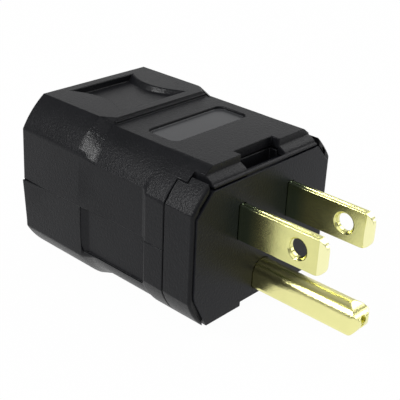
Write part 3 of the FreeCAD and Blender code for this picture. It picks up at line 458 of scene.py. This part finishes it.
def slotted_screw():
    """The recipe for a row of slotted screws, each with a rolled thread and a rounded head."""
    tree = bpy.data.node_groups.new("slotted_screw", "GeometryNodeTree")
    for name, kind in SCREW_INPUTS.items():
        tree.interface.new_socket(name=name, in_out="INPUT", socket_type=kind)
    tree.interface.new_socket(name="Screws", in_out="OUTPUT", socket_type="NodeSocketGeometry")
    recipe = Recipe(tree)
    given = tree.nodes.new("NodeGroupInput")
    size = {name: Value(recipe, given.outputs[name]) for name in SCREW_INPUTS}

    def moved(mesh, widening, height):
        """Widens each point of a turned form by a factor and lifts it to a height."""
        factor = recipe.node("ShaderNodeCombineXYZ", {}, {"X": widening, "Y": widening})
        flat = recipe.node("ShaderNodeVectorMath", {"operation": "MULTIPLY"}, {0: point, 1: factor})
        lift = recipe.node("ShaderNodeCombineXYZ", {}, {"Z": height})
        spot = recipe.node("ShaderNodeVectorMath", {"operation": "ADD"}, {0: flat, 1: lift})
        return recipe.node("GeometryNodeSetPosition", {}, {"Geometry": mesh, "Position": spot})

    point = recipe.node("GeometryNodeInputPosition", {}, {})
    x, y, z = (recipe.node("ShaderNodeSeparateXYZ", {}, {0: point}, axis) for axis in "XYZ")

    length, pitch = size["Shank length"], size["Thread pitch"]
    shank = recipe.node("GeometryNodeMeshCylinder", {}, {
        "Vertices": SHANK_SIDES, "Side Segments": length / pitch * RINGS_PER_TURN,
        "Radius": size["Shank radius"], "Depth": length})
    turns = z / pitch - y.maths("ARCTAN2", x) * (0.5 / math.pi)
    ridge = turns.maths("PINGPONG", 0.5) * 2
    runout = ((length * 0.5 - abs(z)) / pitch).maths("MINIMUM", 1.0)
    groove = (1 - ridge * runout) * size["Thread depth"] / size["Shank radius"]
    thread = moved(shank, 1 - groove, z - length * 0.5)

    height, radius, rim = size["Head height"], size["Head radius"], size["Rim rounding"]
    blank = recipe.node("GeometryNodeMeshCylinder", {}, {
        "Vertices": HEAD_SIDES, "Side Segments": HEAD_RINGS, "Radius": radius, "Depth": height})
    share = z / height + 0.5
    bend = (share - 0.5).maths("MAXIMUM", 0.0) * math.pi
    wall = share.maths("MINIMUM", 0.5) * 2 * (height - rim)
    inset = (1 - bend.maths("COSINE")) * rim / radius
    head = moved(blank, 1 - inset, wall + bend.maths("SINE") * rim)
    span = recipe.node("ShaderNodeCombineXYZ", {}, {
        "X": radius * SLOT_CUTTER_REACH, "Y": size["Slot width"], "Z": size["Slot depth"] * 2})
    top = recipe.node("ShaderNodeCombineXYZ", {}, {"Z": height})
    cutter = recipe.node("GeometryNodeMeshCube", {}, {"Size": span})
    blade = recipe.node("GeometryNodeTransform", {}, {"Geometry": cutter, "Translation": top})
    slotted = recipe.node("GeometryNodeMeshBoolean", {"operation": "DIFFERENCE"}, {
        "Mesh 1": head, "Mesh 2": blade})

    screw = recipe.node("GeometryNodeJoinGeometry", {}, {"Geometry": [thread, slotted]})
    seats = recipe.node("GeometryNodeMeshLine", {}, {
        "Count": size["Count"], "Start Location": size["First seat"], "Offset": size["Spacing"]})
    row = recipe.node("GeometryNodeInstanceOnPoints", {}, {
        "Points": seats, "Instance": screw, "Rotation": size["Turn"]})
    real = recipe.node("GeometryNodeRealizeInstances", {}, {"Geometry": row})
    plated_row = recipe.node("GeometryNodeSetMaterial", {}, {
        "Geometry": real, "Material": size["Plating"]})
    recipe.node("NodeGroupOutput", {}, {"Screws": plated_row})
    return tree


def screws(node, plating, shank_radius, head_radius, head_height, head_down, count=1):
    """A row of slotted screws, between the ends of the plain ones that they stand for."""
    low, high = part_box(node)
    seat = low.z + head_height if head_down else high.z - head_height
    first = Vector(((low.x + high.x) / 2, (low.y + high.y) / 2, seat))
    spacing = Vector((high.x - low.x - 2 * head_radius, 0, 0))
    if count > 1:
        first = first - spacing / 2
    values = {
        "Shank radius": shank_radius, "Shank length": high.z - low.z - head_height,
        "Thread pitch": THREAD_PITCH, "Thread depth": THREAD_DEPTH, "Head radius": head_radius,
        "Head height": head_height, "Rim rounding": RIM_SHARE * head_height,
        "Slot width": SLOT_WIDTH, "Slot depth": SLOT_DEPTH, "Count": count,
        "First seat": first, "Spacing": spacing,
        "Turn": (math.pi if head_down else 0, 0, 0), "Plating": plating}
    piece = bpy.data.objects.new(f"dressed_{node}", bpy.data.meshes.new(node))
    bpy.context.scene.collection.objects.link(piece)
    turned = piece.modifiers.new("screws", "NODES")
    turned.node_group = screw_tree
    for item in screw_tree.interface.items_tree:
        if item.in_out == "INPUT":
            turned[item.identifier] = values[item.name]
    done = plain(piece)
    done.data.polygons.foreach_set("use_smooth", [True] * len(done.data.polygons))
    done.data.set_sharp_from_angle(angle=SCREW_SHARP_TURN)
    return done


# The plating's grain in millimetres, and how far it changes the colour and the gloss.
PLATING_GRAIN_SIZE = 0.2
PLATING_CLOUD_SIZE = 1.6
PLATING_DULLNESS = 0.8
PLATING_GLOSS_CHANGE = 0.15
PLATING_RELIEF = 0.01


def plated(name, base, roughness):
    """Plated or bare metal with a fine tumbled grain."""
    finish = Finish(name)
    grain = finish.noise(PLATING_GRAIN_SIZE)
    cloud = finish.noise(PLATING_CLOUD_SIZE)
    dull = tuple(part * PLATING_DULLNESS for part in base[:3]) + (1,)
    return finish.surface({
        "Base Color": finish.mix(cloud, base, dull), "Metallic": 1.0,
        "Roughness": (grain - 0.5) * PLATING_GLOSS_CHANGE + roughness,
        "Normal": finish.bump(grain, PLATING_RELIEF)})


screw_tree = slotted_screw()
zinc = plated("bright_zinc", base=(0.62, 0.62, 0.60, 1), roughness=0.3)
plain_brass = plated("plain_brass", base=(0.72, 0.58, 0.28, 1), roughness=0.28)
green_zinc = plated("green_zinc", base=(0.05, 0.26, 0.09, 1), roughness=0.32)
for terminal, plating, slot in (("hot", plain_brass, "brass_screw"), ("neutral", zinc, "steel"),
                                ("ground", green_zinc, "green_screw")):
    screw = screws(f"{terminal}_terminal_screw", plating, TERMINAL_SHANK_RADIUS,
                   TERMINAL_HEAD_RADIUS, TERMINAL_HEAD_HEIGHT, head_down=terminal == "ground")
    fitted(screw, f"{terminal}_terminal_screw", plating)

# Clamp plates. A square zinc-plated plate on each terminal screw presses the wire against the
# tab. Pressed from strip, so that its edges are a little rounded.

CLAMP_ROUNDING = 0.12 * MM

for terminal in ("hot", "neutral", "ground"):
    clamp = eased(f"{terminal}_clamp_plate", CLAMP_ROUNDING)
    fitted(clamp, f"{terminal}_clamp_plate", zinc)

# Face plate. The flat front that the pins pass through, seated in the housing's straps. Moulded
# from the same nylon in a finer tool, so that it looks a little smoother. Its face is bare.

FACE_ROUNDING = 0.12 * MM
# The face colours are bluer than the shell's nylon: a painted tint that cancels the yellow light
# the brass reflects onto the face.
FACE_DARK_COUNTER_TINT = (0.0052, 0.0058, 0.0088, 1)
FACE_PALE_COUNTER_TINT = (0.0096, 0.0102, 0.0134, 1)
FACE_ROUGHNESS = 0.34

face_nylon = nylon("face_nylon", FACE_DARK_COUNTER_TINT, FACE_PALE_COUNTER_TINT, FACE_ROUGHNESS)
fitted(eased("face_plate", FACE_ROUNDING), "face_plate", face_nylon)

# Shells. The upper and lower halves of the body, which close on the housing and the cord. Moulded
# in black nylon; the floor of the label recess in the upper one is left smooth for a label, with a
# painted sheen in a paler colour.

SHELL_ROUNDING = 0.16 * MM
SHELL_GENTLE_ROUNDING = 0.5 * MM
SHELL_DARK = (0.0056, 0.0059, 0.0071, 1)
SHELL_PALE = (0.0106, 0.0109, 0.0126, 1)
SHELL_ROUGHNESS = 0.36

# The label recess in millimetres, and how far the pads' corner facets are slanted.
LABEL_HALF_WIDTH = 9.3
LABEL_FRONT, LABEL_REAR = 12.7, 19.75
LABEL_FLOOR_HEIGHT = 10.25
LABEL_CLEARANCE = 0.1
CORNER_FORWARD_SLANT = 0.1
CORNER_SIDE_SLANT = 0.4


def label_floor(finish):
    """One on the floor of the label recess, nought elsewhere."""
    middle = (LABEL_FRONT + LABEL_REAR) / 2
    half_length = (LABEL_REAR - LABEL_FRONT) / 2
    across = abs(finish.along("X")) < LABEL_HALF_WIDTH
    length = abs(finish.along("Y") - middle) < half_length
    level = abs(finish.along("Z") - LABEL_FLOOR_HEIGHT) < LABEL_CLEARANCE
    return across * length * level


def pad_corner(finish):
    """One on the slanted facets at the pads' front corners, which rub first, nought elsewhere."""
    forward = finish.facing("Y") < -CORNER_FORWARD_SLANT
    sideways = abs(finish.facing("X")) > CORNER_SIDE_SLANT
    upright = abs(finish.facing("Z")) > CORNER_SIDE_SLANT
    return forward * sideways * upright


shell_nylon = nylon("shell_nylon", SHELL_DARK, SHELL_PALE, SHELL_ROUGHNESS, label_floor, pad_corner)
for half in ("top", "bottom"):
    shell = eased(f"{half}_shell", SHELL_ROUNDING, SHELL_GENTLE_ROUNDING)
    fitted(shell, f"{half}_shell", shell_nylon)

# Assembly screws and nuts. Two slotted machine screws come up from below, through the lower
# shell, into square nuts that are held in the upper one. Zinc plated.

ASSEMBLY_SHANK_RADIUS = 1.5 * MM
ASSEMBLY_HEAD_RADIUS = 2.25 * MM
ASSEMBLY_HEAD_HEIGHT = 1.8 * MM
NUT_ROUNDING = 0.12 * MM

assembly_screws = screws("assembly_screws", zinc, ASSEMBLY_SHANK_RADIUS, ASSEMBLY_HEAD_RADIUS,
                         ASSEMBLY_HEAD_HEIGHT, head_down=True, count=2)
fitted(assembly_screws, "assembly_screws", zinc)
fitted(eased("assembly_nuts", NUT_ROUNDING), "assembly_nuts", zinc)

# Studio. A white sheet of paper under the plug, six soft lamps round and above it in a dim white
# room, and a camera that looks down on its front left corner.

PAPER_REACH = 2.0
PAPER_COLOUR = (0.86, 0.86, 0.86, 1)
PAPER_SEEN = 0.98
PAPER_MIRRORED = 0.88
ROOM_LIGHT = 0.25
WHITE = (1, 1, 1, 1)

paper_mesh = bpy.data.meshes.new("paper")
corners = [(x * PAPER_REACH, y * PAPER_REACH, cad_low.z)
           for x, y in ((-1, -1), (1, -1), (1, 1), (-1, 1))]
paper_mesh.from_pydata(corners, [], [(0, 1, 2, 3)])
paper = bpy.data.objects.new("paper", paper_mesh)
bpy.context.scene.collection.objects.link(paper)
white_paper = bpy.data.materials.new("white_paper")
white_paper.use_nodes = True
sheet = Recipe(white_paper.node_tree)
seen = sheet.node("ShaderNodeLightPath", {}, {}, "Is Camera Ray")
mirrored = sheet.node("ShaderNodeLightPath", {}, {}, "Is Glossy Ray")
through = sheet.node("ShaderNodeLightPath", {}, {}, "Is Transmission Ray")
matt = sheet.node("ShaderNodeBsdfDiffuse", {}, {"Color": PAPER_COLOUR})
glow = sheet.node("ShaderNodeEmission", {}, {"Color": WHITE, "Strength": 1.0})
glowing = seen * PAPER_SEEN + (mirrored + through) * PAPER_MIRRORED
blended = sheet.node("ShaderNodeMixShader", {}, {0: glowing, 1: matt, 2: glow})
sheet.node("ShaderNodeOutputMaterial", {}, {"Surface": blended})
paper_mesh.materials.append(white_paper)

world = bpy.data.worlds.new("studio")
world.use_nodes = True
room = Recipe(world.node_tree)
watched = room.node("ShaderNodeLightPath", {}, {}, "Is Camera Ray")
dim = room.node("ShaderNodeBackground", {}, {"Color": WHITE, "Strength": ROOM_LIGHT})
bright = room.node("ShaderNodeBackground", {}, {"Color": WHITE, "Strength": 1.0})
walls = room.node("ShaderNodeMixShader", {}, {0: watched, 1: dim, 2: bright})
room.node("ShaderNodeOutputWorld", {}, {"Surface": walls})
bpy.context.scene.world = world


def softbox(name, way, distance, width, height, watts):
    """A rectangular lamp in a direction from the plug, turned towards it."""
    lamp = bpy.data.lights.new(name, "AREA")
    lamp.shape = "RECTANGLE"
    lamp.size = width
    lamp.size_y = height
    lamp.energy = watts
    holder = bpy.data.objects.new(name, lamp)
    bpy.context.scene.collection.objects.link(holder)
    holder.location = Vector(way).normalized() * distance
    holder.rotation_euler = Vector(way).to_track_quat("Z", "Y").to_euler()


softbox("overhead", (-0.45, -0.30, 0.80), distance=0.5, width=0.5, height=0.5, watts=0.8)
softbox("left", (-0.72, 0.40, 0.57), distance=0.5, width=0.13, height=0.13, watts=1.3)
softbox("rear", (0.65, 0.66, 0.36), distance=0.6, width=0.5, height=0.3, watts=0.3)
softbox("top", (0.15, 0.10, 1.00), distance=0.6, width=0.5, height=0.5, watts=0.2)
softbox("right", (0.72, -0.12, 0.68), distance=0.6, width=0.4, height=0.3, watts=1.2)
softbox("front", (0.66, -0.72, 0.25), distance=0.6, width=0.2, height=0.15, watts=0.4)

CAMERA_SPOT = (-104.93 * MM, -79.47 * MM, 65.86 * MM)
CAMERA_TURN = (64.088, -2.475, -47.168)

lens = bpy.data.cameras.new("camera")
lens.sensor_width = 36
lens.lens = 78.57
lens.shift_x = -0.0138
lens.shift_y = -0.0134
lens.clip_start = 0.01
camera = bpy.data.objects.new("camera", lens)
bpy.context.scene.collection.objects.link(camera)
camera.location = CAMERA_SPOT
camera.rotation_euler = [math.radians(turn) for turn in CAMERA_TURN]
bpy.context.scene.camera = camera
bpy.context.scene.view_settings.view_transform = "Standard"
